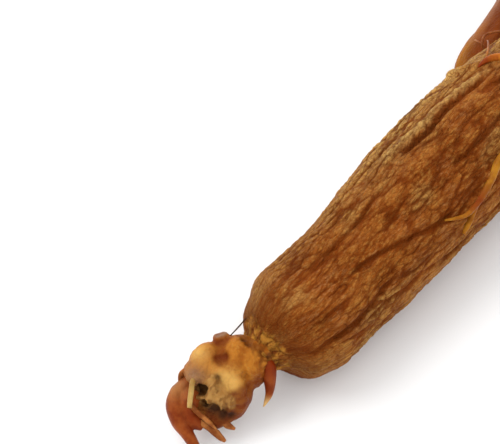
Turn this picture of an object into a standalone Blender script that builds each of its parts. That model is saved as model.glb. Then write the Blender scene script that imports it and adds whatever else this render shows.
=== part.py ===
"""A dried red ginseng root lying on its side: one grown piece, so one solid.

+X runs from the head (the knotty rhizome) to the leg tips, +Z is up and z = 0 is the surface that the
root lies on. The origin is the middle of the root's footprint. Every length below is in millimetres.
"""

import math

import bmesh
import bpy
from mathutils import Vector

MM = 0.001

# Driving dimensions: each can be changed by itself.
BODY_LENGTH = 80.0
BODY_DIAMETER = 24.0
NECK_DIAMETER = 7.8
HEAD_LENGTH = 15.0
HEAD_DIAMETER = 11.8
SCAR_DIAMETER = 6.4
SCAR_DEPTH = 2.6
KNOB_DIAMETER = 5.0
LOBE_DIAMETER = 6.8
CURL_DIAMETER = 3.7
SPUR_LENGTH = 5.6
SPUR_DIAMETER = 2.4
MAIN_LEG_LENGTH = 56.0
MAIN_LEG_DIAMETER = 14.6
LEFT_LEG_LENGTH = 62.0
LEFT_LEG_DIAMETER = 10.4
RIGHT_LEG_LENGTH = 41.0
RIGHT_LEG_DIAMETER = 6.4
ROOTLET_DIAMETER = 1.5
LUMP_SIZE = 9.0
LUMP_HEIGHT = 0.7
REST_FLAT_DEPTH = 0.3

# How finely the solid is made.
GRAIN = 0.5
SPAN_STEPS = 5
SIDES = 28
KEPT_SHARE = 0.08

ROOT_COLOUR = (0.27, 0.10, 0.022, 1.0)
ROOT_ROUGHNESS = 0.55

BODY_RADIUS = BODY_DIAMETER / 2

# The body from the neck's end to where the legs part: how far along it, then the centre's offset to the
# left, its height and the radius, all three as shares of the body's radius.
BODY_SHAPE = (
    (0.025, 0.12, 0.84, 0.46),
    (0.050, 0.10, 0.85, 0.65),
    (0.080, 0.05, 0.86, 0.79),
    (0.120, 0.01, 0.865, 0.865),
    (0.170, -0.05, 0.87, 0.89),
    (0.250, -0.07, 0.87, 0.885),
    (0.320, -0.13, 0.885, 0.915),
    (0.440, -0.15, 0.93, 0.96),
    (0.560, -0.19, 0.96, 0.99),
    (0.650, -0.22, 0.97, 1.00),
    (0.750, -0.27, 0.965, 0.99),
    (0.870, -0.32, 0.93, 0.94),
    (1.000, -0.32, 0.86, 0.80),
)

# A leg: how far along it, its centre's sideways and upward place as shares of its own length, and its
# radius as a share of its thickest. The first points lie inside the body.
MAIN_LEG_SHAPE = (
    (0.16, -0.078, 0.154, 1.04),
    (0.32, -0.080, 0.126, 0.88),
    (0.50, -0.060, 0.100, 0.72),
    (0.68, -0.026, 0.078, 0.58),
    (0.85, 0.014, 0.058, 0.45),
    (0.96, 0.036, 0.044, 0.34),
)
LEFT_LEG_SHAPE = (
    (0.00, 0.010, 0.150, 0.76),
    (0.07, 0.064, 0.134, 0.95),
    (0.15, 0.104, 0.122, 1.02),
    (0.25, 0.124, 0.108, 1.00),
    (0.38, 0.144, 0.096, 0.93),
    (0.53, 0.178, 0.084, 0.80),
    (0.69, 0.206, 0.070, 0.66),
    (0.85, 0.208, 0.054, 0.50),
    (0.96, 0.190, 0.042, 0.37),
)
RIGHT_LEG_SHAPE = (
    (0.00, -0.200, 0.200, 0.85),
    (0.14, -0.270, 0.155, 1.00),
    (0.34, -0.330, 0.110, 0.93),
    (0.56, -0.360, 0.082, 0.76),
    (0.78, -0.350, 0.060, 0.58),
    (0.95, -0.310, 0.042, 0.40),
)

# The head, from inside the neck towards its broken end: how far along it, its centre's offset to the left
# and drop below the neck as shares of its length, and its radius as a share of its thickest.
HEAD_SHAPE = (
    (0.10, 0.03, 0.01, 0.74),
    (0.25, 0.09, 0.05, 0.96),
    (0.50, 0.12, 0.13, 1.00),
    (0.72, 0.12, 0.21, 0.98),
    (0.91, 0.10, 0.28, 0.80),
)

# The bud that curls from the left of the scar down to the surface, as shares of the head's length.
CURL_SHAPE = (
    (0.50, 0.34, 0.12, 0.95),
    (0.74, 0.47, 0.18, 1.10),
    (0.94, 0.49, 0.28, 1.14),
    (1.05, 0.34, 0.40, 1.05),
    (1.09, 0.12, 0.48, 0.84),
    (1.09, -0.10, 0.52, 0.60),
)


def curve_through(stations, steps):
    """The stations, which are vectors of any size, joined by a smooth line that passes through each."""
    first = stations[0] * 2 - stations[1]
    last = stations[-1] * 2 - stations[-2]
    padded = [first, *stations, last]
    line = []
    for before, start, end, after in zip(padded, padded[1:], padded[2:], padded[3:]):
        for i in range(steps):
            t = i / steps
            line.append(
                start
                + (end - before) * (t / 2)
                + (before * 2 - start * 5 + end * 4 - after) * (t * t / 2)
                + (start * 3 - before - end * 3 + after) * (t * t * t / 2)
            )
    return line + [stations[-1]]


def with_round_tip(stations):
    """The stations with a dome added, so that a tube through them ends round and not cut square."""
    end, before = stations[-1], stations[-2]
    radius = end.w
    ahead = (end - before).to_3d().normalized()
    tip = []
    for turn in (35, 60, 80):
        angle = math.radians(turn)
        place = end.to_3d() + ahead * (radius * math.sin(angle))
        tip.append(Vector((*place, radius * math.cos(angle))))
    return [*stations, *tip]


def tube(name, stations, steps=SPAN_STEPS):
    """A closed mesh of a round tapering tube through stations of (x, y, z, radius)."""
    curve = bpy.data.curves.new(name, "CURVE")
    curve.dimensions = "3D"
    curve.bevel_depth = 1.0
    curve.bevel_resolution = SIDES // 2 - 2
    curve.use_fill_caps = True
    spline = curve.splines.new("POLY")
    line = curve_through(stations, steps)
    spline.points.add(len(line) - 1)
    for point, station in zip(spline.points, line):
        point.co = (*(station.to_3d() * MM), 1.0)
        point.radius = station.w * MM
    guide = bpy.data.objects.new(name, curve)
    bpy.context.scene.collection.objects.link(guide)
    graph = bpy.context.evaluated_depsgraph_get()
    mesh = bpy.data.meshes.new_from_object(guide.evaluated_get(graph), depsgraph=graph)
    bpy.data.objects.remove(guide)
    return mesh


def ball(name, centre, diameter, stretch=(1.0, 1.0, 1.0)):
    """A closed mesh of a ball round centre, stretched along X, Y and Z."""
    mesh = bpy.data.meshes.new(name)
    bm = bmesh.new()
    bmesh.ops.create_uvsphere(bm, u_segments=24, v_segments=16, radius=diameter / 2 * MM)
    bmesh.ops.scale(bm, vec=stretch, verts=bm.verts)
    bmesh.ops.translate(bm, vec=centre * MM, verts=bm.verts)
    bm.to_mesh(mesh)
    bm.free()
    return mesh


def neck_point():
    """The middle of the neck, where the head grows into the body."""
    return Vector((0.0, 0.14 * BODY_RADIUS, 0.82 * BODY_RADIUS))


def head_point(along, left, drop):
    """A place in the head, from shares of the head's length measured from the neck."""
    return neck_point() + Vector((-along, left, -drop)) * HEAD_LENGTH


def body_stations():
    neck = neck_point()
    stations = [Vector((*neck, NECK_DIAMETER / 2))]
    for along, left, height, radius in BODY_SHAPE:
        place = (along * BODY_LENGTH, left * BODY_RADIUS, height * BODY_RADIUS)
        stations.append(Vector((*place, radius * BODY_RADIUS)))
    return stations


def leg_stations(shape, start, length, diameter):
    """A leg's stations from its shape. start is how far from the neck the leg leaves the body."""
    stations = []
    for along, left, height, radius in shape:
        place = (start + along * length, left * length, height * length)
        stations.append(Vector((*place, radius * diameter / 2)))
    return stations


def trunk():
    """The body with the main leg, which carries straight on from it."""
    leg = leg_stations(MAIN_LEG_SHAPE, BODY_LENGTH, MAIN_LEG_LENGTH, MAIN_LEG_DIAMETER)
    return tube("trunk", with_round_tip(body_stations() + leg))


def left_leg():
    """The leg that swells out of the body's left side, before the body ends."""
    start = BODY_LENGTH * 0.835
    leg = leg_stations(LEFT_LEG_SHAPE, start, LEFT_LEG_LENGTH, LEFT_LEG_DIAMETER)
    return tube("left_leg", with_round_tip(leg))


def right_leg():
    """The thin leg low on the body's right side."""
    start = BODY_LENGTH * 0.94
    leg = leg_stations(RIGHT_LEG_SHAPE, start, RIGHT_LEG_LENGTH, RIGHT_LEG_DIAMETER)
    return tube("right_leg", with_round_tip(leg))


def head():
    """The rhizome: a short knotty stub with the scar of last year's stalk at its end."""
    stations = [Vector((BODY_LENGTH * 0.03, *neck_point().yz, NECK_DIAMETER / 2 * 0.9))]
    stations.append(Vector((*neck_point(), NECK_DIAMETER / 2)))
    for along, left, drop, radius in HEAD_SHAPE:
        stations.append(Vector((*head_point(along, left, drop), radius * HEAD_DIAMETER / 2)))
    return tube("head", stations)


def knob():
    """The side bud on the head's upper left, next to the neck."""
    return ball("knob", head_point(0.17, 0.34, -0.12), KNOB_DIAMETER, (1.0, 1.1, 1.0))


def left_lobe():
    return ball("left_lobe", head_point(0.42, 0.35, 0.02), LOBE_DIAMETER, (1.0, 1.0, 0.9))


def right_lobe():
    return ball("right_lobe", head_point(0.52, -0.13, 0.12), LOBE_DIAMETER, (1.1, 1.0, 1.1))


def neck_lump():
    """The rounded lump on top of the head, next to the neck."""
    return ball("neck_lump", head_point(0.22, -0.02, -0.16), LOBE_DIAMETER, (0.9, 1.1, 0.8))


def curl():
    """The bud that curls round the left of the scar and down."""
    stations = []
    for along, left, drop, radius in CURL_SHAPE:
        stations.append(Vector((*head_point(along, left, drop), radius * CURL_DIAMETER / 2)))
    return tube("curl", with_round_tip(stations))


def spur():
    """The thorn-like rootlet stub that hangs from the neck's right side."""
    start = neck_point() + Vector((-0.12, -0.25, 0.0)) * HEAD_DIAMETER
    stations = []
    for share, thickness in ((0.0, 1.0), (0.35, 0.95), (0.7, 0.6), (1.0, 0.22)):
        place = start + Vector((-0.40, -0.48, -0.66 - 0.12 * share)) * (share * SPUR_LENGTH)
        stations.append(Vector((*place, thickness * SPUR_DIAMETER / 2)))
    return tube("spur", stations)


def on_body(along, turn):
    """The body's surface: along is a share of its length, turn an angle from the top towards the left."""
    line = curve_through(body_stations(), SPAN_STEPS)
    centre = min(line, key=lambda station: abs(station.x - along * BODY_LENGTH))
    angle = math.radians(turn)
    outward = Vector((0.0, math.sin(angle), math.cos(angle)))
    return centre.to_3d() + outward * centre.w, outward


def surface_rootlet(name, path):
    """A fine rootlet dried onto the body, half sunk in it, along a path of (along, turn, thickness)."""
    stations = []
    for along, turn, thickness in path:
        surface, _outward = on_body(along, turn)
        stations.append(Vector((*surface, thickness * ROOTLET_DIAMETER / 2)))
    return tube(name, stations, steps=3)


def forked_rootlet():
    """The pale rootlet on the body's right side, whose thin end points back at the head."""
    return surface_rootlet(
        "forked_rootlet",
        (
            (0.46, -59, 0.5),
            (0.50, -63, 0.8),
            (0.55, -58, 1.0),
            (0.60, -54, 1.05),
            (0.68, -48, 1.1),
            (0.77, -46, 1.1),
        ),
    )


def crossing_rootlet():
    """The rootlet that leaves the body's left side and lies over the top of the body's end."""
    return surface_rootlet(
        "crossing_rootlet",
        ((0.80, 60, 1.2), (0.825, 40, 1.3), (0.845, 26, 1.25), (0.87, 8, 1.1), (0.90, -14, 0.85)),
    )


def joined(meshes):
    """One mesh that holds all of these, which are then removed."""
    whole = bpy.data.meshes.new("ginseng_root")
    bm = bmesh.new()
    for mesh in meshes:
        bm.from_mesh(mesh)
        bpy.data.meshes.remove(mesh)
    bmesh.ops.remove_doubles(bm, verts=bm.verts, dist=1e-7)
    bm.to_mesh(whole)
    bm.free()
    return whole


def collection(name):
    made = bpy.data.collections.new(name)
    bpy.context.scene.collection.children.link(made)
    return made


def placed(name, mesh, into, parent):
    obj = bpy.data.objects.new(name, mesh)
    obj.parent = parent
    into.objects.link(obj)
    return obj


def cutter(name, mesh, into, parent):
    """A helper that a Boolean subtracts. It isn't part of the root."""
    obj = placed(name, mesh, into, parent)
    obj.hide_render = True
    obj.display_type = "WIRE"
    return obj


def subtract(obj, other):
    cut = obj.modifiers.new("cut_" + other.name, "BOOLEAN")
    cut.operation = "DIFFERENCE"
    cut.object = other


def grow_together(obj):
    """Makes the overlapping tubes and balls one skin, with soft hollows where they meet, then lumpy."""
    remesh = obj.modifiers.new("one_skin", "REMESH")
    remesh.mode = "VOXEL"
    remesh.voxel_size = GRAIN * MM
    smooth = obj.modifiers.new("soften", "SMOOTH")
    smooth.factor = 0.5
    smooth.iterations = 6
    clouds = bpy.data.textures.new("lumps", "CLOUDS")
    clouds.noise_scale = LUMP_SIZE * MM
    clouds.noise_depth = 1
    lumps = obj.modifiers.new("lumps", "DISPLACE")
    lumps.texture = clouds
    lumps.texture_coords = "LOCAL"
    lumps.mid_level = 0.5
    lumps.strength = LUMP_HEIGHT * MM
    thin = obj.modifiers.new("fewer_faces", "DECIMATE")
    thin.ratio = KEPT_SHARE


def floor_block():
    """A block whose top is the surface that the root lies on, far wider than the root."""
    reach = 4 * (BODY_LENGTH + HEAD_LENGTH + max(MAIN_LEG_LENGTH, LEFT_LEG_LENGTH))
    depth = BODY_DIAMETER
    mesh = bpy.data.meshes.new("floor_block")
    bm = bmesh.new()
    bmesh.ops.create_cube(bm, size=1.0)
    bmesh.ops.scale(bm, vec=Vector((reach, reach, depth)) * MM, verts=bm.verts)
    bmesh.ops.translate(bm, vec=(0.0, 0.0, -depth / 2 * MM), verts=bm.verts)
    bm.to_mesh(mesh)
    bm.free()
    return mesh


def scar_hollow():
    """The pit that last year's stalk left in the head's end."""
    centre = head_point(0.88, 0.02, -0.06)
    return ball("scar_hollow", centre, SCAR_DIAMETER, (0.85, 1.0, 2 * SCAR_DEPTH / SCAR_DIAMETER))


def root_material():
    material = bpy.data.materials.new("dried_root")
    material.use_nodes = True
    shader = material.node_tree.nodes["Principled BSDF"]
    shader.inputs["Base Color"].default_value = ROOT_COLOUR
    shader.inputs["Roughness"].default_value = ROOT_ROUGHNESS
    shader.inputs["Metallic"].default_value = 0.0
    return material


def centre_footprint(frame, obj):
    """Moves frame so that the middle of the finished root's footprint is at the origin."""
    bpy.context.view_layer.update()
    finished = obj.evaluated_get(bpy.context.evaluated_depsgraph_get())
    corners = [finished.matrix_world @ Vector(corner) for corner in finished.bound_box]
    low = [min(corner[i] for corner in corners) for i in range(3)]
    high = [max(corner[i] for corner in corners) for i in range(3)]
    frame.location -= Vector(((low[0] + high[0]) / 2, (low[1] + high[1]) / 2, low[2]))


def main():
    for old in list(bpy.data.objects):
        bpy.data.objects.remove(old)
    root_parts = collection("ginseng_root")
    cutters = collection("cutters")
    frame = bpy.data.objects.new("frame", None)
    root_parts.objects.link(frame)

    grown = (
        trunk(),
        left_leg(),
        right_leg(),
        head(),
        knob(),
        left_lobe(),
        right_lobe(),
        neck_lump(),
        curl(),
        spur(),
        forked_rootlet(),
        crossing_rootlet(),
    )
    root = placed("ginseng_root", joined(grown), root_parts, frame)
    root.data.materials.append(root_material())
    root.location.z = -REST_FLAT_DEPTH * MM
    grow_together(root)
    hollow = cutter("scar_hollow", scar_hollow(), cutters, frame)
    hollow.location.z = root.location.z
    subtract(root, hollow)
    subtract(root, cutter("floor_block", floor_block(), cutters, frame))
    centre_footprint(frame, root)


main()
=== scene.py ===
"""The looks of a dried red ginseng root, built round its CAD solid.

The root's skin is a fine copy of the CAD solid with its furrows and wrinkles raised from it. The
knotty head gets a finer skin of its own. Broken fibres, the curled bud and the rootlets are separate
thin pieces. Lengths in the constants are in millimetres, and places are given from the middle of the
neck, the narrow waist between head and body: -X is out along the head, +X along the body, +Y its left,
+Z up.
"""

import itertools
import math

import bmesh
import bpy
import numpy as np
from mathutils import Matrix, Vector
from mathutils.bvhtree import BVHTree

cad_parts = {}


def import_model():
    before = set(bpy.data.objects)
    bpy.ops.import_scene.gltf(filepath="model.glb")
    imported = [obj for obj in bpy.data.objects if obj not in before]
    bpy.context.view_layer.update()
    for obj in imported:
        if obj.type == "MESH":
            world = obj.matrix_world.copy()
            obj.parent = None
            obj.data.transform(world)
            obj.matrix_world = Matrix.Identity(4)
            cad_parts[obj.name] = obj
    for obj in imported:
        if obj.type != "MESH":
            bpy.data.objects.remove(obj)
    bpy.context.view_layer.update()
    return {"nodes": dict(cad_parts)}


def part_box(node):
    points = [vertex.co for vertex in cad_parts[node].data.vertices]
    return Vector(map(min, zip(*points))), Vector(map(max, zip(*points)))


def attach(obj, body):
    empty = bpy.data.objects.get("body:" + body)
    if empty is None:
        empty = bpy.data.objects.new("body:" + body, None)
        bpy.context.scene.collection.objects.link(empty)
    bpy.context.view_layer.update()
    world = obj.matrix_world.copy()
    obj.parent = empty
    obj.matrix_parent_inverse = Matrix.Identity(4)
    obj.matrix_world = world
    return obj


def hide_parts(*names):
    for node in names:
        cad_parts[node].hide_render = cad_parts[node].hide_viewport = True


MM = 0.001

# How fine the skins are made, and how many triangles the root's skin keeps.
SKIN_GRAIN = 0.26
LOBE_GRAIN = 0.3
HEAD_GRAIN = 0.2
BUD_GRAIN = 0.2
ROOTLET_GRAIN = 0.12
SKIN_TRIANGLES = 196000

# How far outside the neck's middle the root's skin ends, hidden inside the head.
NECK_OVERLAP = 2.2

# How thick the body and the legs are taken to be where their wrinkles are laid out.
BODY_LAYOUT_RADIUS = 11.0
LEG_LAYOUT_RADIUS = 5.0

# Where along the body its wrinkles give way to the legs' smoother skin.
MAIN_LEG_FROM = 76
MAIN_LEG_TO = 92
LEFT_LEG_FROM = 66
RIGHT_LEG_FROM = 75

# Centre lines of the body and of the legs that part from it: x, y, z and radius at points along them.
BODY_LINE = (
    (-3, 0.4, -0.2, 4.5),
    (1, 0.0, 0.1, 5.0),
    (4, -0.5, 0.4, 8.0),
    (10, -1.6, 0.5, 10.4),
    (20, -2.5, 0.6, 10.6),
    (35, -3.5, 1.4, 11.5),
    (52, -4.3, 1.8, 12.0),
    (70, -5.5, 1.4, 11.2),
    (80, -5.5, 0.5, 9.6),
    (89, -6.1, -1.2, 7.6),
    (98, -6.2, -2.8, 6.4),
    (108, -5.0, -4.2, 5.2),
    (118, -3.1, -5.5, 4.2),
    (134, 0.3, -7.4, 2.5),
)
LEFT_LEG_LINE = (
    (67, -1.1, -0.5, 4.0),
    (71, 2.3, -1.5, 4.9),
    (76, 4.8, -2.3, 5.3),
    (82, 6.0, -3.1, 5.2),
    (90, 7.3, -3.9, 4.8),
    (100, 9.3, -4.6, 4.2),
    (110, 11.1, -5.5, 3.4),
    (126, 10.1, -7.2, 1.9),
)
RIGHT_LEG_LINE = (
    (75, -9.9, -1.6, 2.7),
    (81, -12.8, -3.5, 3.2),
    (89, -15.2, -5.3, 3.0),
    (98, -16.5, -6.5, 2.4),
    (107, -16.0, -7.4, 1.9),
    (114, -14.4, -8.1, 1.3),
)


def corner_directions(count, seed):
    """Unit vectors in all directions, for the noise below."""
    picked = np.random.default_rng(seed).normal(size=(count, 3))
    return picked / np.linalg.norm(picked, axis=1, keepdims=True)


DIRECTIONS = corner_directions(256, 7)
SHUFFLE = np.random.default_rng(11).permutation(256)


def noise(points, size, seed=0):
    """Smooth noise of about -1 to 1 at each row of points. size is a lump's width, or its X, Y and Z
    widths."""
    p = points / np.asarray(size, float) + seed * 17.31
    cell = np.floor(p).astype(np.int64)
    part = p - cell
    fade = part * part * part * (part * (part * 6 - 15) + 10)
    total = np.zeros(len(p))
    for corner in itertools.product((0, 1), repeat=3):
        x, y, z = (cell + corner).T & 255
        which = SHUFFLE[(SHUFFLE[(SHUFFLE[x] + y) & 255] + z) & 255]
        share = np.prod(np.where(corner, fade, 1 - fade), axis=1)
        total += share * np.sum((part - corner) * DIRECTIONS[which], axis=1)
    return total * 1.6


def cobbles(points, size, seed=0):
    """Scattered cells that fill space: 0 on the cracks between them, rising to about 1 in their
    middles."""
    p = points / np.asarray(size, float) + seed * 17.31
    cell = np.floor(p).astype(np.int64)
    nearest = np.full(len(p), 9.0)
    second = np.full(len(p), 9.0)
    for corner in itertools.product((-1, 0, 1), repeat=3):
        home = cell + corner
        x, y, z = home.T & 255
        which = SHUFFLE[(SHUFFLE[(SHUFFLE[x] + y) & 255] + z) & 255]
        away = np.linalg.norm(p - home - 0.5 - 0.5 * DIRECTIONS[which], axis=1)
        second = np.minimum(second, np.maximum(nearest, away))
        nearest = np.minimum(nearest, away)
    return second - nearest


def drift(points, size, seed):
    """Three noises side by side, to move each point a little along X, Y and Z."""
    return np.column_stack([noise(points, size, seed + axis) for axis in range(3)])


def smooth_step(low, high, values):
    """0 up to low, 1 from high on, and an even rise between them."""
    t = np.clip((values - low) / (high - low), 0, 1)
    return t * t * (3 - 2 * t)


def bell(values, middle, width):
    """1 at middle, falling away to nothing past width on either side."""
    return np.exp(-(((values - middle) / width) ** 2))


def pillow(values, width):
    """0 along the noise's creases, rising steeply to 1 on the swellings between them."""
    return np.minimum(np.abs(values) / width, 1) ** 0.65


class Along:
    """Where points lie along a centre line: s along it, turn round it from top to left, r away from it,
    and the line's own radius there."""

    def __init__(self, points, line):
        line = np.array(line, float)
        best = np.full(len(points), np.inf)
        self.s = np.zeros(len(points))
        self.radius = np.zeros(len(points))
        offset = np.zeros((len(points), 3))
        for start, end in zip(line, line[1:]):
            step = (end - start)[:3]
            t = np.clip((points - start[:3]) @ step / (step @ step), 0, 1)
            away = points - (start[:3] + t[:, None] * step)
            distance = np.linalg.norm(away, axis=1)
            nearer = distance < best
            best[nearer] = distance[nearer]
            offset[nearer] = away[nearer]
            self.s[nearer] = (start[0] + t * step[0])[nearer]
            self.radius[nearer] = (start[3] + t * (end[3] - start[3]))[nearer]
        self.r = best
        self.turn = np.arctan2(offset[:, 1], offset[:, 2])

    def straightened(self, radius):
        """The points as if the line were straight and the root evenly thick, to lay out wrinkles."""
        slack = 0.8 * np.maximum(radius - self.r, 0)
        return np.column_stack((self.s - slack, radius * np.sin(self.turn), radius * np.cos(self.turn)))


def vertex_rows(mesh, field):
    flat = np.empty(len(mesh.vertices) * 3, np.float32)
    mesh.vertices.foreach_get(field, flat)
    return flat.reshape(-1, 3).astype(float)


def coordinates(mesh):
    return vertex_rows(mesh, "co")


def normals(mesh):
    return vertex_rows(mesh, "normal")


def set_coordinates(mesh, points):
    mesh.vertices.foreach_set("co", points.astype(np.float32).ravel())
    mesh.update()


def add_attribute(mesh, name, values):
    """One number for each vertex, or three, that a material reads by name."""
    kind = "FLOAT" if values.ndim == 1 else "FLOAT_VECTOR"
    attribute = mesh.attributes.new(name, kind, "POINT")
    field = "value" if values.ndim == 1 else "vector"
    attribute.data.foreach_set(field, values.astype(np.float32).ravel())


def new_object(name, mesh):
    obj = bpy.data.objects.new(name, mesh)
    bpy.context.scene.collection.objects.link(obj)
    return obj


def applied(obj):
    """obj's mesh with its modifiers worked out. obj itself is removed."""
    graph = bpy.context.evaluated_depsgraph_get()
    mesh = bpy.data.meshes.new_from_object(obj.evaluated_get(graph), depsgraph=graph)
    bpy.data.objects.remove(obj)
    return mesh


def one_skin(name, mesh, grain, rounds):
    """Remakes mesh, which may be several that overlap, as one even skin of small faces, and softens it
    this many rounds."""
    obj = new_object(name, mesh)
    remesh = obj.modifiers.new("one_skin", "REMESH")
    remesh.mode = "VOXEL"
    remesh.voxel_size = grain * MM
    soften = obj.modifiers.new("soften", "SMOOTH")
    soften.factor = 0.5
    soften.iterations = rounds
    return applied(obj)


def thinned(mesh, triangles):
    """mesh with about this many triangles, fewer of them where it is smooth."""
    mesh.calc_loop_triangles()
    obj = new_object(mesh.name, mesh)
    fewer = obj.modifiers.new("fewer_faces", "DECIMATE")
    fewer.ratio = min(1.0, triangles / len(mesh.loop_triangles))
    return applied(obj)


# The neck is looked for from one of these shares of the solid's length to the other, in such steps, and
# its girth is taken from the points this near.
NECK_FROM = 0.09
NECK_TO = 0.16
NECK_STEP = 0.0025
NECK_NEARBY = 0.006


def neck_of(mesh):
    """The middle of the narrowest place near the head's end of the CAD solid."""
    points = coordinates(mesh)
    low, high = points.min(axis=0), points.max(axis=0)
    length = high[0] - low[0]
    narrowest = None
    for share in np.arange(NECK_FROM, NECK_TO, NECK_STEP):
        x = low[0] + share * length
        ring = points[np.abs(points[:, 0] - x) < NECK_NEARBY * length]
        if len(ring) < 8:
            continue
        girth = np.ptp(ring[:, 1]) + np.ptp(ring[:, 2])
        if narrowest is None or girth < narrowest[0]:
            middle = (ring[:, 1:].min(axis=0) + ring[:, 1:].max(axis=0)) / 2
            narrowest = (girth, Vector((x, *middle)))
    return narrowest[1]


# Long furrows and ridges that stand out on the body: where each starts and ends along the body, its
# turn in degrees from the top towards the left at either end, its half width, and its height.
MARKED_LINES = (
    (7, 34, 6, 11, 0.45, -0.6),
    (16, 40, -21, -58, 0.5, -0.65),
    (3, 23, -66, -61, 0.6, -0.7),
    (15, 40, -71, -90, 0.45, -0.5),
    (41, 64, 21, 15, 0.55, -1.0),
    (37, 64, 33, 21, 0.85, 0.75),
    (38, 68, 66, 56, 0.9, 0.4),
    (60, 78, 5, -2, 0.5, -0.6),
    (24, 46, 48, 44, 0.45, -0.5),
    (44, 70, -20, -30, 0.5, -0.6),
    (16, 40, 110, 120, 0.6, -0.7),
    (34, 70, 160, 150, 0.6, -0.6),
    (20, 60, -120, -112, 0.6, -0.7),
    (46, 72, -92, -84, 0.5, -0.55),
)

# The body's smaller wrinkles: how far apart they are along the body and across it, and their depths.
FURROW_SIZE = (12.0, 1.9, 1.9)
WRINKLE_SIZE = (3.6, 1.45, 1.45)
CROSSING_SIZE = (1.25, 0.8, 0.8)
PEBBLE_SIZE = (0.8, 0.55, 0.55)
SWELL_HEIGHT = 0.35
FURROW_DEPTH = 0.32
WRINKLE_DEPTH = 0.22
CROSSING_DEPTH = 0.11
PEBBLE_HEIGHT = 0.06


def marked_lines(grid, along):
    """The heights of the marked furrows and ridges, with the ridges cut across into beads."""
    height = np.zeros(len(grid))
    sway = 0.08 * noise(grid, (9, 9, 9), 21)
    for start, end, turn_in, turn_out, half_width, rise in MARKED_LINES:
        share = np.clip((along.s - start) / (end - start), 0, 1)
        middle = np.radians(turn_in + (turn_out - turn_in) * share) + sway
        across = (along.turn - middle + np.pi) % (2 * np.pi) - np.pi
        beside = across * along.radius / half_width
        fade = smooth_step(start - 2, start + 3, along.s)
        fade *= smooth_step(-end - 2, -end + 3, -along.s)
        shape = np.exp(-beside * beside) * fade
        if rise > 0:
            shape *= 1 - 0.8 * rise * (1 - pillow(noise(grid, (1.3, 4, 4), 5), 0.4))
        height += rise * shape
    return height


def body_relief(along):
    """The body's wrinkles: their height, how much each point is in a crease, the layout that they
    follow, how calm each point's skin is, and how much it is on a marked ridge."""
    grid = along.straightened(BODY_LAYOUT_RADIUS)
    wide = drift(grid, (5, 3, 3), 1) * (0.8, 0.5, 0.5)
    fine = drift(grid, (1.6, 0.9, 0.9), 11) * (0.3, 0.16, 0.16)
    laid = grid + wide + fine
    calm = smooth_step(0.0, 0.5, noise(grid, (15, 7, 7), 4)) * 0.6
    deep = 0.25 + 0.75 * smooth_step(-0.4, 0.4, noise(grid, (14, 4, 4), 5))
    furrows = pillow(noise(laid, FURROW_SIZE, 6), 0.22)
    wrinkles = pillow(cobbles(laid, WRINKLE_SIZE, 7), 0.42)
    crossings = pillow(cobbles(laid, CROSSING_SIZE, 8), 0.5)
    swells = noise(grid, (16, 5, 5), 9)
    pebbles = noise(laid, PEBBLE_SIZE, 10)
    marked = marked_lines(grid, along)
    past_neck = smooth_step(2, 13, along.s)
    height = SWELL_HEIGHT * swells
    height += FURROW_DEPTH * (furrows - 1) * deep
    height += WRINKLE_DEPTH * (wrinkles - 1) * (1 - 0.5 * calm)
    height += CROSSING_DEPTH * (crossings - 1) * (1 - 0.5 * calm)
    height += PEBBLE_HEIGHT * pebbles
    height *= 0.4 + 0.6 * past_neck
    height += marked
    # crease is how deep each point lies in the wrinkles; the material paints it dark red, the furrows'
    # own red deepened as painted crease shade.
    crease = 0.85 * (1 - furrows) * deep
    crease += 0.6 * (1 - wrinkles) * (1 - 0.4 * calm)
    crease += 0.22 * (1 - crossings)
    crease *= 0.6 + 0.4 * past_neck
    crease = np.clip(np.clip(crease, 0, 1) + np.clip(-marked * 1.1, 0, 1), 0, 1)
    return height, crease, grid, calm, np.clip(marked * 1.6, 0, 1)


def leg_relief(along, seed):
    """A leg's skin is smoother than the body's: soft long folds and a few fine creases."""
    grid = along.straightened(LEG_LAYOUT_RADIUS)
    folds = pillow(noise(grid, (14, 2.6, 2.6), seed), 0.5)
    creases = pillow(noise(grid, (5, 1.3, 1.3), seed + 1), 0.35)
    swells = noise(grid, (9, 5, 5), seed + 2)
    height = 0.25 * swells + 0.16 * (folds - 1) + 0.05 * (creases - 1)
    crease = np.clip(0.4 * (1 - folds) + 0.2 * (1 - creases), 0, 1)
    return height, crease, grid


def cut_at_neck(source, neck):
    """A copy of the CAD solid without its head, closed where it is cut."""
    bm = bmesh.new()
    bm.from_mesh(source)
    bmesh.ops.remove_doubles(bm, verts=bm.verts, dist=1e-6)
    geometry = list(bm.verts) + list(bm.edges) + list(bm.faces)
    plane = neck + Vector((-NECK_OVERLAP, 0, 0)) * MM
    bmesh.ops.bisect_plane(bm, geom=geometry, plane_co=plane, plane_no=(-1, 0, 0), clear_outer=True)
    bmesh.ops.holes_fill(bm, edges=[edge for edge in bm.edges if edge.is_boundary])
    mesh = bpy.data.meshes.new("root_skin")
    bm.to_mesh(mesh)
    bm.free()
    return mesh


def raise_relief(mesh, height):
    """Moves the skin out by height, but never below the floor, and hardly where it lies on it."""
    places = coordinates(mesh)
    lying = places[:, 2] / MM < 0.4
    height = np.where(lying, np.minimum(height, 0) * 0.4, height)
    moved = places + normals(mesh) * (height * MM)[:, None]
    moved[:, 2] = np.maximum(moved[:, 2], 0)
    set_coordinates(mesh, moved)


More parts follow.
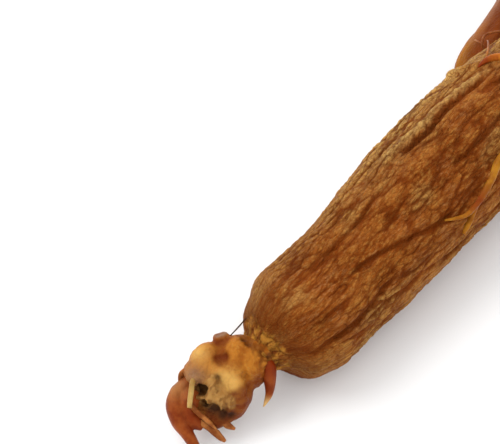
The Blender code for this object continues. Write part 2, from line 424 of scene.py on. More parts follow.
def make_skin(source, neck):
    """The whole root's skin but for the head, with its relief and with what its material reads."""
    mesh = one_skin("root_skin", cut_at_neck(source, neck), SKIN_GRAIN, rounds=14)
    points = coordinates(mesh) / MM - np.array(neck) / MM
    body = Along(points, BODY_LINE)
    left = Along(points, LEFT_LEG_LINE)
    right = Along(points, RIGHT_LEG_LINE)

    height, crease, grid, calm, ridge = body_relief(body)
    leg_height, leg_crease, _ = leg_relief(body, 31)
    main_leg = smooth_step(MAIN_LEG_FROM, MAIN_LEG_TO, body.s)
    height = height * (1 - main_leg) + leg_height * main_leg
    crease = crease * (1 - main_leg) + leg_crease * main_leg
    calm = np.maximum(calm, main_leg)
    ridge = ridge * (1 - main_leg)
    bare = main_leg

    reach = 1.1 + 0.12 * points[:, 1] + 1.1 * noise(points, 1.6, 62)
    collar = smooth_step(-0.5, 0.5, reach - points[:, 0])
    bent = points + 0.9 * drift(points, 2.2, 64)
    crumple = pillow(cobbles(bent, (2.6, 1.9, 1.9), 63), 0.6)
    height += 0.55 * (crumple - 1) * smooth_step(-1.0, 0.6, reach - points[:, 0])
    # Between the collar's crumpled scales the crease share is painted shade as well.
    crease = crease * (1 - collar) + 0.75 * (1 - crumple) * collar
    specks = dark_specks(points)
    crease = np.maximum(crease, specks)
    height -= 0.4 * specks

    glow = np.zeros(len(points))
    for leg, start, seed in ((left, LEFT_LEG_FROM, 41), (right, RIGHT_LEG_FROM, 51)):
        closeness = body.r / body.radius - leg.r / leg.radius
        begun = smooth_step(start, start + 3, leg.s)
        here = smooth_step(-0.05, 0.12, closeness) * begun
        leg_height, leg_crease, leg_grid = leg_relief(leg, seed)
        height = height * (1 - here) + leg_height * here
        crease = crease * (1 - here) + leg_crease * here
        grid = grid * (1 - here[:, None]) + leg_grid * here[:, None]
        # A painted shade line where each leg parts from the body, with softer painted shade beside it.
        parting = bell(closeness, 0.08, 0.1) + 0.5 * bell(closeness, 0, 0.6)
        crease = np.clip(crease + 0.9 * parting * begun * here, 0, 1)
        # glow: a painted glow of light through each leg's upper left side.
        glow = np.maximum(glow, here * bell(leg.turn, 1.15, 0.4))
        calm = np.maximum(calm, here)
        ridge = ridge * (1 - here)
        bare = np.maximum(bare, here)
    raise_relief(mesh, height)

    # Ochre where the cork is dry: in patches, along the lower right edge, and most on the upper left
    # side, where it is also a painted highlight on the side that faces the lamp.
    upper_left = bell(body.turn, 1.0, 0.5) * (0.45 + 0.55 * smooth_step(18, 42, body.s))
    lower_right = bell(body.turn, -1.75, 0.45)
    patches = smooth_step(0.15, 0.6, noise(grid, (10, 5, 5), 61))
    ochre = np.clip(upper_left + 0.4 * lower_right + 0.5 * patches, 0, 1) * (1 - bare)
    # Near the body the legs' glow stays amber; further out it turns into a painted grey-pink sheen.
    outer = smooth_step(70, 88, points[:, 0] + 3 * noise(points, 4, 67))
    marks = {
        "crease": crease,
        "ochre": ochre,
        "ridge": np.clip(ridge, 0, 1),
        "rim": bell(np.maximum(body.s - 0.5, 0), 0, 5.0) * (1 - collar),
        "calm": calm,
        "bare": bare,
        "glow": glow * (1 - outer),
        "painted_sheen": 0.28 * glow * outer,
        "collar": collar,
        "grain": grid,
    }
    for name, values in marks.items():
        add_attribute(mesh, name, values)
    return thinned(mesh, SKIN_TRIANGLES)


# The head's lobes: the middle of each and its half sizes along X, Y and Z.
HEAD_LOBES = (
    (-3.2, 2.6, 0.4, 3.7, 3.9, 3.9),
    (-7.0, 6.2, 0.2, 3.2, 3.1, 3.1),
    (-9.5, 6.4, -0.6, 2.3, 2.7, 2.1),
    (-10.0, 4.9, -1.2, 2.5, 2.4, 2.4),
    (-7.6, 0.9, -3.5, 4.0, 3.9, 4.0),
    (-8.8, 0.4, -4.9, 3.6, 3.3, 3.4),
    (-10.2, 3.4, -4.4, 3.3, 3.4, 3.2),
    (-11.0, 0.4, -5.9, 2.2, 2.5, 2.0),
    (-11.3, 5.3, -3.8, 2.1, 2.4, 2.3),
    (-3.2, -0.4, -1.9, 3.2, 2.6, 3.0),
    (-12.6, 2.6, -5.9, 1.7, 2.2, 1.6),
    (-12.3, 0.8, -6.4, 1.6, 2.0, 1.4),
)
# Tubes of the head, as x, y, z and radius: the neck, the side knob, and the lip round the scar's right
# side.
HEAD_NECK = (
    (4, -0.4, 0.2, 2.0),
    (1, 0.0, 0.1, 3.0),
    (-1.0, 0.4, 0.0, 3.8),
    (-2.4, 0.9, 0.0, 4.0),
    (-4.5, 1.6, 0.0, 3.6),
)
SIDE_KNOB = ((-3.6, 4.6, 1.2, 1.6), (-3.2, 5.9, 2.2, 1.4), (-2.9, 6.7, 3.0, 1.35))
SCAR_LIP = (
    (-8.4, 4.9, 0.2, 1.3),
    (-7.9, 3.4, 0.5, 1.5),
    (-7.3, 1.9, 0.3, 1.7),
    (-7.6, 0.0, -0.6, 1.8),
    (-8.3, -1.4, -2.3, 1.6),
    (-9.2, -1.7, -4.0, 1.4),
    (-10.3, -1.2, -5.1, 1.0),
)
# The hollow that the old stalk left, its middle and half sizes, and the middle of the pit on top.
SCAR = (-12.3, 2.2, -0.9, 2.3, 2.9, 2.2)
PIT = (-6.6, 3.7, 3.2)
# The shallow dent beside the side knob, and the knob's own tip.
DENT = (-4.9, 5.0, 2.7)
KNOB_TIP = (-2.8, 6.7, 3.4)

# The bud that curls from the scar's left side down towards the floor, and the web that joins it to the
# head.
CURL = (
    (-9.8, 6.9, -2.0, 1.4),
    (-11.4, 7.3, -2.4, 1.4),
    (-13.3, 7.7, -2.9, 1.4),
    (-15.3, 6.9, -3.6, 1.8),
    (-16.6, 5.0, -5.0, 1.75),
    (-17.3, 2.9, -6.1, 1.35),
    (-18.1, 0.7, -7.0, 1.1),
    (-18.9, -1.3, -7.7, 0.9),
    (-19.5, -3.3, -8.3, 0.5),
)
CURL_WEB = (
    (-11.9, 5.6, -3.6, 2.0),
    (-13.6, 5.4, -3.6, 1.9),
    (-14.9, 4.5, -4.9, 1.7),
    (-15.0, 2.9, -5.6, 1.4),
    (-14.7, 1.4, -6.3, 0.8),
)
# The thorn-like stub that hangs from the neck's right side.
SPUR = (
    (-1.5, -1.9, 0.3, 1.5),
    (-1.9, -2.6, -0.1, 1.5),
    (-2.5, -3.3, -0.9, 1.35),
    (-3.3, -4.1, -2.2, 1.0),
    (-4.4, -4.7, -3.5, 0.65),
    (-6.0, -4.8, -5.2, 0.1),
)

# Torn ends of the old stalk that stand in the scar, as x, y, z and radius along each.
STALK_ENDS = (
    ((-10.6, 4.6, -2.6, 0.8), (-11.9, 4.1, -1.9, 0.75), (-12.8, 3.6, -1.8, 0.75)),
    (
        (-8.9, 3.1, 0.0, 1.0),
        (-10.4, 2.8, 0.1, 1.0),
        (-11.5, 2.3, -1.1, 0.95),
        (-12.2, 1.7, -2.4, 0.75),
    ),
    ((-9.4, 2.2, -1.2, 1.0), (-10.7, 1.5, -1.4, 1.0), (-11.7, 0.9, -2.6, 0.8)),
    (
        (-9.0, 1.4, -1.0, 0.8),
        (-9.9, 0.4, -1.1, 0.65),
        (-9.9, -0.8, -1.4, 0.6),
        (-10.4, -1.4, -2.4, 0.5),
    ),
    ((-10.2, 1.0, -2.6, 0.9), (-11.3, 0.2, -2.7, 0.75), (-12.0, -0.5, -3.3, 0.45)),
)
# The grey fold that hangs over the scar's upper left side.
GREY_FOLD = (
    (-11.3, 7.2, -0.4, 0.7),
    (-11.2, 6.3, 0.0, 0.9),
    (-10.9, 5.1, 0.2, 1.0),
    (-10.4, 3.9, 0.2, 0.95),
    (-9.7, 3.0, 0.4, 0.8),
)
# Thin dry things on the head: a stick across the scar, splinters below it, and the way that the
# splinters' flat sides face.
PALE_STICK = (
    (-11.0, 6.0, 0.3, 0.4),
    (-12.4, 5.3, 0.8, 0.5),
    (-13.9, 4.5, -0.4, 0.5),
    (-15.2, 3.8, -1.7, 0.4),
)
SPLINTERS = (
    (
        (-13.7, 4.9, -2.1, 0.3),
        (-14.4, 4, -2.4, 0.4),
        (-14.4, 1.2, -3.7, 0.44),
        (-14.3, -1.1, -5, 0.14),
    ),
    (
        (-14.8, 2.3, -5, 0.4),
        (-14.6, -0.5, -5.7, 0.62),
        (-14.5, -1.9, -6.3, 0.66),
        (-14.4, -3.1, -6.9, 0.22),
    ),
    ((-11.6, -0.3, -5.2, 0.9), (-12.2, -1.4, -5.8, 0.75), (-11.7, -3.1, -6.5, 0.2)),
)
SPLINTER_FACE = (-0.45, -0.35, 0.8)
# Dark specks and slits in the collar of dry scales, and in the scar dark slits and pockets that are
# painted shade: x, y, z and size.
DARK_SPECKS = (
    (-1.7, -2.1, 4.1, 0.5),
    (-2.0, 1.3, 4.5, 0.35),
    (-1.5, 2.5, 4.2, 0.35),
    (-1.1, -3.0, 2.5, 0.45),
    (-1.6, -3.9, 0.4, 0.4),
    (-2.4, -3.2, 3.4, 0.3),
    (0.4, -3.4, 2.6, 0.4),
    (-8.7, 2.7, 0.9, 0.35),
    (-10.9, 4.0, -0.9, 0.8),
    (-11.9, 4.2, -1.6, 0.5),
    (-12.4, 2.4, -3.2, 0.5),
    (-12.1, 1.1, -3.6, 0.5),
    (-11.5, -0.1, -4.1, 0.55),
    (-9.8, -0.1, -1.5, 0.3),
    (-12.5, 0.7, -3.2, 0.75),
    (-11.9, -0.7, -4.0, 0.75),
    (-11.1, -1.9, -4.3, 0.55),
)
# A thin dry scale at the head's left, and a dark hair between the side knob and the body.
DRY_FIN = ((-9.9, 8.2, -0.4, 0.7), (-10.9, 8.6, -1.1, 0.75), (-12.0, 8.4, -2.2, 0.3))
HAIR = (
    (-2.2, 5.3, 2.5, 0.08),
    (-1.1, 4.9, 3.4, 0.12),
    (-0.2, 4.6, 4.1, 0.14),
    (1.2, 4.3, 5.0, 0.1),
)
# Patches of colour on the head: the place, its reach along X, Y and Z, and its strength. The red ones
# lie in the pit, in the dent and below the side knob's tip; the pale ones are cream on two lobes,
# brightened as painted highlight.
RED_PATCHES = (
    (PIT, 1.25, 1.6),
    ((-4.6, 5.0, 2.8), (1.3, 1.0, 1.6), 0.35),
    ((-2.8, 6.9, 2.0), (0.9, 0.8, 1.6), 0.9),
)
GREY_PATCHES = (((-11.0, 5.9, 0.7), (1.9, 2.6, 2.0), 1.0),)
PALE_PATCHES = (
    ((-7.8, 7.6, 2.6), (1.6, 2.2, 1.8), 1.0),
    ((-8.6, 0.6, 1.2), (1.8, 2.6, 2.0), 1.3),
)


def shaped_ball(lump):
    """A closed mesh of a ball with its middle and half sizes given."""
    bm = bmesh.new()
    bmesh.ops.create_icosphere(bm, subdivisions=4, radius=1.0)
    bmesh.ops.scale(bm, vec=Vector(lump[3:]) * MM, verts=bm.verts)
    bmesh.ops.translate(bm, vec=Vector(lump[:3]) * MM, verts=bm.verts)
    mesh = bpy.data.meshes.new("ball")
    bm.to_mesh(mesh)
    bm.free()
    return mesh


def curve_through(stations, steps):
    """Points on a smooth line through the stations, which may hold a radius too."""
    stations = np.array(stations, float)
    padded = np.vstack((2 * stations[0] - stations[1], stations, 2 * stations[-1] - stations[-2]))
    line = []
    for before, start, end, after in zip(padded, padded[1:], padded[2:], padded[3:]):
        for t in np.arange(steps) / steps:
            line.append(
                start
                + (end - before) * (t / 2)
                + (2 * before - 5 * start + 4 * end - after) * (t * t / 2)
                + (3 * start - before - 3 * end + after) * (t * t * t / 2)
            )
    line.append(stations[-1])
    return np.array(line)


def strand(stations, steps=6, sides=12, flat=1.0, face=(0, 0, 1), rough=0.0, seed=0):
    """A closed mesh of a tube through x, y, z and radius. flat squeezes it along the direction face,
    and rough makes it uneven by that share of its radius."""
    line = curve_through(stations, steps)
    bm = bmesh.new()
    rings = []
    for i, station in enumerate(line):
        following = line[min(i + 1, len(line) - 1)]
        previous = line[max(i - 1, 0)]
        ahead = Vector(following[:3] - previous[:3]).normalized()
        up = (Vector(face) - ahead * ahead.dot(Vector(face))).normalized()
        side = ahead.cross(up)
        ring = []
        for k in range(sides):
            angle = 2 * math.pi * k / sides
            spoke = side * math.cos(angle) + up * (math.sin(angle) * flat)
            ring.append(Vector(station[:3]) + spoke * max(station[3], 0.02))
        if rough:
            points = np.array([list(point) for point in ring])
            swell = noise(points, max(2.5 * float(np.max(line[:, 3])), 0.4), seed)
            middle = points.mean(axis=0)
            points = middle + (points - middle) * (1 + rough * swell[:, None])
            ring = [Vector(point) for point in points]
        rings.append([bm.verts.new(point * MM) for point in ring])
    for here, ahead in zip(rings, rings[1:]):
        for k in range(sides):
            bm.faces.new((here[k - 1], here[k], ahead[k], ahead[k - 1]))
    bm.faces.new(rings[0])
    bm.faces.new(reversed(rings[-1]))
    bmesh.ops.recalc_face_normals(bm, faces=bm.faces)
    mesh = bpy.data.meshes.new("strand")
    bm.to_mesh(mesh)
    bm.free()
    return mesh


def gathered(name, meshes):
    """One mesh that holds all of these, which are then removed."""
    bm = bmesh.new()
    for mesh in meshes:
        bm.from_mesh(mesh)
        bpy.data.meshes.remove(mesh)
    whole = bpy.data.meshes.new(name)
    bm.to_mesh(whole)
    bm.free()
    return whole


def nearness(points, place, reach):
    """1 at place, falling away to nothing past reach. reach may differ along X, Y and Z."""
    away = (points - np.array(place, float)) / np.asarray(reach, float)
    return np.exp(-np.sum(away * away, axis=1))


def patched(points, patches):
    """How much each point is in the patches, added up."""
    return sum(strength * nearness(points, place, reach) for place, reach, strength in patches)


def dark_specks(points):
    """How deep each point is in one of the dark specks, from 0 to 1."""
    dark = np.zeros(len(points))
    for x, y, z, size in DARK_SPECKS:
        dark = np.maximum(dark, nearness(points, (x, y, z), size * 1.6))
    return dark


def hollowed(mesh, hollow):
    """mesh with the closed mesh hollow cut out of it."""
    obj = new_object("head", mesh)
    cutter = new_object("cutter", hollow)
    cut = obj.modifiers.new("hollow", "BOOLEAN")
    cut.operation = "DIFFERENCE"
    cut.object = cutter
    result = applied(obj)
    bpy.data.objects.remove(cutter)
    return result


def head_shape():
    """The head's lobes and tubes as one skin, with the old stalk's hollow and the torn ends in it."""
    lobes = [shaped_ball(lump) for lump in HEAD_LOBES]
    tubes = [strand(line, sides=24) for line in (HEAD_NECK, SIDE_KNOB, SCAR_LIP)]
    solid = one_skin("head", gathered("head", lobes + tubes), LOBE_GRAIN, rounds=5)
    hollow = shaped_ball(SCAR)
    wall = coordinates(hollow) / MM
    outward = wall - np.array(SCAR[:3])
    wall += outward * 0.3 * noise(wall, (1.6, 1.6, 1.6), 71)[:, None]
    set_coordinates(hollow, wall * MM)
    ends = [strand(path, flat=0.85, rough=0.25, seed=20 + i) for i, path in enumerate(STALK_ENDS)]
    ends.append(strand(GREY_FOLD, sides=16, rough=0.2, seed=27))
    return one_skin("head", gathered("head", [hollowed(solid, hollow), *ends]), HEAD_GRAIN, rounds=3)


def make_head():
    """The knotty head with its collar of dry scales, its pit and scar, and what its material reads."""
    mesh = head_shape()
    points = coordinates(mesh) / MM
    x, y, z = points.T
    laid = points + drift(points, 2.5, 72) * 0.5
    collar = smooth_step(-3.8, -1.8, x - 0.25 * y)
    scar = np.clip(nearness(points, (-11.8, 1.9, -1.2), (2.6, 3.2, 2.6)) * 1.5, 0, 1)
    straw = np.zeros(len(points))
    for path in STALK_ENDS:
        for *place, radius in curve_through(path, 4)[2:]:
            straw = np.maximum(straw, nearness(points, place, radius * 1.5))
    straw = smooth_step(0.25, 0.6, straw)
    dark = dark_specks(points)
    folds = pillow(noise(laid, (3.4, 2.2, 2.2), 75), 0.4)
    crumple = pillow(cobbles(laid, (1.9, 1.3, 1.3), 76), 0.5)
    scaly = collar * smooth_step(0.2, 1.6, -x)
    height = 0.2 * noise(points, 3.2, 77)
    height += 0.22 * (folds - 1) * (0.25 + scar)
    height += (0.28 * (crumple - 1) + 0.14 * noise(laid, 0.8, 78)) * scaly
    height += 0.4 * noise(laid, (0.9, 1.1, 1.7), 79) * scar * (1 - 0.85 * straw)
    height -= 0.6 * dark
    height += 0.06 * noise(laid, 0.6, 80) + 0.08 * noise(laid, 1.2, 81)
    height -= 1.2 * nearness(points, PIT, 1.1)
    height -= 0.3 * nearness(points, DENT, (1.0, 0.9, 1.4))
    set_coordinates(mesh, (points + normals(mesh) * height[:, None]) * MM)

    # red: painted shade on the head's underside and its right side, added to the red patches and a ring
    # round the side knob's tip.
    under = smooth_step(4.5, 7.5, -z - 0.25 * x - 0.2 * y)
    right = smooth_step(0.9, 2.4, -y - 0.35 * x - 0.6 * z - 2.2)
    knob_gap = np.linalg.norm(points - KNOB_TIP, axis=1)
    red = patched(points, RED_PATCHES) + under + 0.9 * right + 0.9 * bell(knob_gap, 1.9, 0.55)
    grey = patched(points, GREY_PATCHES) + smooth_step(-1.5, -0.9, -knob_gap)
    marks = {
        "red": np.clip(red, 0, 1),
        "grey": np.clip(grey, 0, 1),
        "pale": np.clip(patched(points, PALE_PATCHES), 0, 1),
        "collar": collar,
        "scar": scar,
        "straw": straw,
        "dark": np.clip(dark * 1.3, 0, 1),
        # The folds and the collar's creases, which the material paints as shade.
        "crease": np.clip((1 - folds) * 0.5 + (1 - crumple) * collar, 0, 1),
    }
    for name, values in marks.items():
        add_attribute(mesh, name, values)
    return mesh


# Rootlets that lie dried onto the skin: (s along the body, turn, radius) at points along each.
FORKED_ROOTLET = (
    (
        (36.3, -54, 0.2),
        (37.9, -59, 0.35),
        (39.3, -62, 0.42),
        (40.7, -63, 0.5),
        (43, -63, 0.6),
        (44.8, -61, 0.7),
    ),
    (
        (38.4, -80, 0.3),
        (39.5, -76, 0.55),
        (40.9, -72, 0.6),
        (42.2, -66, 0.6),
        (44, -62, 0.5),
    ),
    (
        (43.6, -62, 0.62),
        (44.8, -61, 0.68),
        (47.8, -56, 0.72),
        (51.3, -49, 0.76),
        (56, -46, 0.8),
        (64, -45, 0.4),
    ),
)
CROSSING_ROOTLET = (
    (65.2, 31, 0.15),
    (66.1, 29, 0.4),
    (67.2, 26, 0.62),
    (68.5, 21, 0.82),
    (70.2, 8, 0.92),
    (72.4, -10, 0.7),
)

# Fine dry fibres where the left leg parts from the body.
LEG_FIBRES = (
    (
        (75.6, 5.6, 2.2, 0.12),
        (76.2, 6.3, 2.9, 0.2),
        (78.3, 6.9, 3.0, 0.25),
        (80.6, 5.4, 2.8, 0.22),
        (82.6, 3.6, 2.0, 0.15),
    ),
    ((77.6, 8.4, 1.2, 0.08), (76.8, 8.1, 2.0, 0.12), (76.3, 6.8, 2.8, 0.12), (76.0, 5.6, 3.0, 0.08)),
    (
        (68.6, 1.1, 10.1, 0.12),
        (69.3, 1.3, 10.8, 0.19),
        (71.2, 2.3, 10.1, 0.18),
        (73.2, 3.6, 8.6, 0.13),
        (73.8, 4.2, 7.8, 0.06),
    ),
)


class Skin:
    """The finished skin, to lay thin pieces on."""

    def __init__(self, mesh, neck):
        bm = bmesh.new()
        bm.from_mesh(mesh)
        self.tree = BVHTree.FromBMesh(bm)
        bm.free()
        self.neck = neck

    def laid(self, path, lift=0.4):
        """x, y, z and radius along a path of s, turn and radius, lift times the radius off the skin."""
        line = np.array(BODY_LINE)
        stations = []
        for s, turn, radius in path:
            centre = Vector([np.interp(s, line[:, 0], line[:, axis]) for axis in range(3)])
            outward = Vector((0, math.sin(math.radians(turn)), math.cos(math.radians(turn))))
            start = self.neck + (centre + outward * 30) * MM
            hit = self.tree.ray_cast(start, -outward)[0]
            place = (hit - self.neck) / MM + outward * (radius * lift)
            stations.append((*place, radius))
        return stations


# How far red, green and blue light sink into the root, as shares of the deepest, and its shine's tint.
SINKING_LIGHT = (1.0, 0.4, 0.12)
WARM_SHINE = (1.0, 0.72, 0.42, 1.0)


class Nodes:
    """Short names for the shader nodes that the materials are made of."""

    def __init__(self, name):
        self.material = bpy.data.materials.new(name)
        self.material.use_nodes = True
        self.tree = self.material.node_tree
        self.shader = self.tree.nodes["Principled BSDF"]

    def put(self, socket, value):
        if isinstance(value, bpy.types.NodeSocket):
            self.tree.links.new(value, socket)
        else:
            socket.default_value = value

    def attribute(self, name, field="Fac"):
        node = self.tree.nodes.new("ShaderNodeAttribute")
        node.attribute_name = name
        return node.outputs[field]

    def place(self):
        """The point in the object's own space, in millimetres."""
        node = self.tree.nodes.new("ShaderNodeTexCoord")
        return self.scaled(node.outputs["Object"], 1 / MM)

    def scaled(self, vector, by):
        node = self.tree.nodes.new("ShaderNodeVectorMath")
        node.operation = "MULTIPLY"
        self.put(node.inputs[0], vector)
        node.inputs[1].default_value = (by, by, by) if isinstance(by, (int, float)) else by
        return node.outputs["Vector"]

    def noise(self, vector, size, detail=3.0, roughness=0.55):
        """Blender's noise with lumps this many millimetres across, or an X, Y and Z size."""
        sizes = (size, size, size) if isinstance(size, (int, float)) else size
        node = self.tree.nodes.new("ShaderNodeTexNoise")
        self.put(node.inputs["Vector"], self.scaled(vector, tuple(1 / each for each in sizes)))
        node.inputs["Scale"].default_value = 1.0
        node.inputs["Detail"].default_value = detail
        node.inputs["Roughness"].default_value = roughness
        return node.outputs["Fac"]

    def crackle(self, vector, size):
        """The distance to the edges of a net of cells with these X, Y and Z sizes in millimetres."""
        node = self.tree.nodes.new("ShaderNodeTexVoronoi")
        node.feature = "DISTANCE_TO_EDGE"
        self.put(node.inputs["Vector"], self.scaled(vector, tuple(1 / each for each in size)))
        node.inputs["Scale"].default_value = 1.0
        return node.outputs["Distance"]

    def maths(self, operation, first, second):
        node = self.tree.nodes.new("ShaderNodeMath")
        node.operation = operation
        self.put(node.inputs[0], first)
        self.put(node.inputs[1], second)
        return node.outputs[0]

    def between(self, value, low, high, to_low=0.0, to_high=1.0):
        """value from low to high, carried over to the range to_low to to_high."""
        node = self.tree.nodes.new("ShaderNodeMapRange")
        node.interpolation_type = "SMOOTHSTEP"
        self.put(node.inputs["Value"], value)
        node.inputs["From Min"].default_value = low
        node.inputs["From Max"].default_value = high
        node.inputs["To Min"].default_value = to_low
        node.inputs["To Max"].default_value = to_high
        return node.outputs["Result"]

    def mix(self, share, first, second):
        """A colour between first and second."""
        node = self.tree.nodes.new("ShaderNodeMix")
        node.data_type = "RGBA"
        self.put(node.inputs["Factor"], share)
        self.put(node.inputs[6], first)
        self.put(node.inputs[7], second)
        return node.outputs[2]

    def waxy(self, share, reach, sheen):
        """Lets a share of the light sink this many millimetres into the skin, most of it red, and keeps
        its shine warm."""
        self.shader.inputs["Subsurface Weight"].default_value = share
        self.shader.inputs["Subsurface Radius"].default_value = SINKING_LIGHT
        self.shader.inputs["Subsurface Scale"].default_value = reach * MM
        self.shader.inputs["Specular IOR Level"].default_value = sheen
        self.shader.inputs["Specular Tint"].default_value = WARM_SHINE

    def bump(self, height, depth):
        """A bump of depth millimetres where height is 1."""
        node = self.tree.nodes.new("ShaderNodeBump")
        node.inputs["Strength"].default_value = 1.0
        node.inputs["Distance"].default_value = depth * MM
        self.put(node.inputs["Height"], height)
        self.put(self.shader.inputs["Normal"], node.outputs["Normal"])


def tone(red, green, blue):
    """A colour from its usual screen values of 0 to 255."""
    shares = [value / 255 for value in (red, green, blue)]
    linear = [s / 12.92 if s <= 0.04045 else ((s + 0.055) / 1.055) ** 2.4 for s in shares]
    return (*linear, 1.0)


# The skin's colours; where there are two, the skin wanders between them.
BODY_BROWN = (tone(126, 62, 16), tone(150, 86, 32))
TAN_CREST = (tone(174, 122, 72), tone(180, 128, 60))
LEG_BROWN = (tone(94, 36, 8), tone(118, 56, 18))
# Dark red of the creases, partly painted crease shade.
CREASE_RED = (tone(88, 34, 4), tone(110, 46, 8))
PAPERY_SCALE = (tone(126, 66, 24), tone(182, 122, 46))
PALE_SCALE = tone(190, 138, 66)
# The scales' crease colour is painted shade.
SCALE_CREASE = tone(74, 30, 8)
DARK_SPECK = tone(92, 38, 8)
# Ochre of dry cork, also a painted highlight on the upper left side.
OCHRE_DRY_AND_LIT = tone(184, 142, 76)
# Pale cork of the raised ridges, partly painted highlight.
PALE_RIDGE = tone(200, 160, 94)
CRACK_BROWN = tone(84, 36, 8)
# A painted glow, for the legs' upper left sides.
AMBER_GLOW = tone(164, 104, 14)
# A painted grey-pink sheen, for the legs further out.
GREY_PINK_SHEEN = tone(168, 128, 98)
NECK_BROWN = tone(96, 42, 10)

# The head's colours, likewise.
HEAD_OCHRE = (tone(140, 76, 16), tone(168, 104, 32))
# Red-brown: painted shade on the head's underside and right side, and the red patches.
HEAD_RED = (tone(96, 30, 6), tone(112, 50, 12))
SCAR_BROWN = (tone(44, 22, 8), tone(128, 90, 44))
STALK_STRAW = (tone(146, 102, 50), tone(172, 128, 70))
STALK_THREAD = tone(104, 62, 24)
# Fine flecks of painted highlight.
HEAD_GLINT = tone(184, 132, 58)
# Pale cream, brightened as a painted highlight.
HEAD_PALE = tone(202, 156, 82)
# Painted shade in the folds.
HEAD_CREASE = tone(104, 52, 10)
HEAD_GREY = tone(130, 98, 74)
# Dark specks, and painted shade in the scar's slits and pockets.
HEAD_DARK = tone(44, 18, 8)

# The thin pieces' colours, likewise, and what they turn to at their red and pale places.
BUD_AMBER = (tone(108, 38, 8), tone(138, 66, 24))
SPLIT_WOOD = (tone(112, 56, 22), tone(168, 106, 54))
STICK_STRAW = (tone(146, 112, 58), tone(180, 148, 88))
HAIR_DARK = (tone(30, 20, 10), tone(60, 36, 16))
ROOTLET_HONEY = (tone(134, 78, 14), tone(166, 110, 26))
ROOTLET_ORANGE = (tone(120, 46, 4), tone(170, 96, 24))
# Red, which on the bud is painted shadow in its pocket.
ROOTLET_RED = tone(116, 36, 4)
# Pale, for the spur's dry tip and for a painted highlight on the bud's top.
ROOTLET_PALE_AND_LIT = tone(204, 166, 104)


def skin_material():
    """Wrinkled translucent skin: dark red in the creases, deepened as painted shade; tan on the ridges,
    with a painted highlight on the marked ones; ochre where it is dry, also painted on the lit upper
    left; a painted glow and sheen on the legs.
    """
    n = Nodes("wrinkled_skin")
    grain = n.attribute("grain", "Vector")
    crease = n.attribute("crease")
    calm = n.attribute("calm")
    bare = n.attribute("bare")

    cloud = n.noise(grain, (9, 4, 4))
    brown = n.mix(n.between(cloud, 0.35, 0.65), *BODY_BROWN)
    fleck = n.noise(grain, (1.25, 0.55, 0.55), 5.0, 0.75)
    patch = n.noise(grain, (7, 3, 3))
    crest = n.mix(n.between(patch, 0.42, 0.58), *TAN_CREST)
    brown = n.mix(n.between(fleck, 0.44, 0.66, 0.0, 0.6), brown, crest)
    speck = n.noise(grain, (1.9, 0.5, 0.5), 4.0, 0.7)
    brown = n.mix(n.between(speck, 0.36, 0.5, 0.5, 0.0), brown, DARK_SPECK)
    # Ochre where the skin is dry, and on the upper left side also a painted highlight.
    ochre = n.attribute("ochre")
    dry = n.maths("MULTIPLY", ochre, n.between(fleck, 0.3, 0.6, 0.4, 0.95))
    colour = n.mix(dry, brown, OCHRE_DRY_AND_LIT)
    glassy = n.mix(n.between(cloud, 0.35, 0.65), *LEG_BROWN)
    colour = n.mix(n.maths("MULTIPLY", bare, 0.92), colour, glassy)
    # Paler on the raised marked ridges: pale dry cork, lightened further as a painted highlight.
    colour = n.mix(n.maths("MULTIPLY", n.attribute("ridge"), 0.8), colour, PALE_RIDGE)
    # Dark red in the creases: the furrows' own red, deepened as painted crease shade.
    red = n.mix(n.between(cloud, 0.4, 0.6), *CREASE_RED)
    colour = n.mix(n.between(crease, 0.12, 0.85, 0.0, 0.85), colour, red)
    crackle = n.crackle(grain, (1.2, 0.6, 0.6))
    smooth = n.maths("MAXIMUM", bare, n.attribute("collar"))
    cracks = n.between(crackle, 0.0, 0.14, 1.0, 0.0)
    cracks = n.maths("MULTIPLY", cracks, n.between(ochre, 0.0, 1.0, 0.28, 0.6))
    cracks = n.maths("MULTIPLY", cracks, n.between(smooth, 0.0, 1.0, 1.0, 0.1))
    colour = n.mix(cracks, colour, CRACK_BROWN)
    # A painted amber glow on the legs' upper left sides near the body.
    glow = n.maths("MULTIPLY", n.attribute("glow"), n.between(cloud, 0.3, 0.7, 0.5, 1.0))
    colour = n.mix(glow, colour, AMBER_GLOW)
    # A painted grey-pink sheen on the legs further out.
    colour = n.mix(n.attribute("painted_sheen"), colour, GREY_PINK_SHEEN)
    papery = n.mix(n.between(n.noise(grain, 3.0), 0.42, 0.58), *PAPERY_SCALE)
    papery = n.mix(n.between(fleck, 0.45, 0.7, 0.0, 0.5), papery, PALE_SCALE)
    # Painted shade in the creases between the papery scales.
    papery = n.mix(n.between(crease, 0.25, 0.9, 0.0, 0.8), papery, SCALE_CREASE)
    colour = n.mix(n.maths("MULTIPLY", n.attribute("collar"), 0.95), colour, papery)
    colour = n.mix(n.maths("MULTIPLY", n.attribute("rim"), 0.7), colour, NECK_BROWN)
    n.put(n.shader.inputs["Base Color"], colour)

    rough = n.between(n.noise(grain, (2, 1, 1)), 0.3, 0.7, 0.46, 0.64)
    rough = n.maths("SUBTRACT", rough, n.maths("MULTIPLY", calm, 0.12))
    n.put(n.shader.inputs["Roughness"], rough)
    n.waxy(share=0.1, reach=0.6, sheen=0.03)

    pebble = n.noise(grain, (0.55, 0.4, 0.4), 4.0, 0.65)
    relief = n.maths("ADD", pebble, n.between(crackle, 0.0, 0.25, -0.35, 0.0))
    relief = n.maths("MULTIPLY", relief, n.between(calm, 0.0, 1.0, 1.0, 0.3))
    n.bump(relief, depth=0.4)
    return n.material


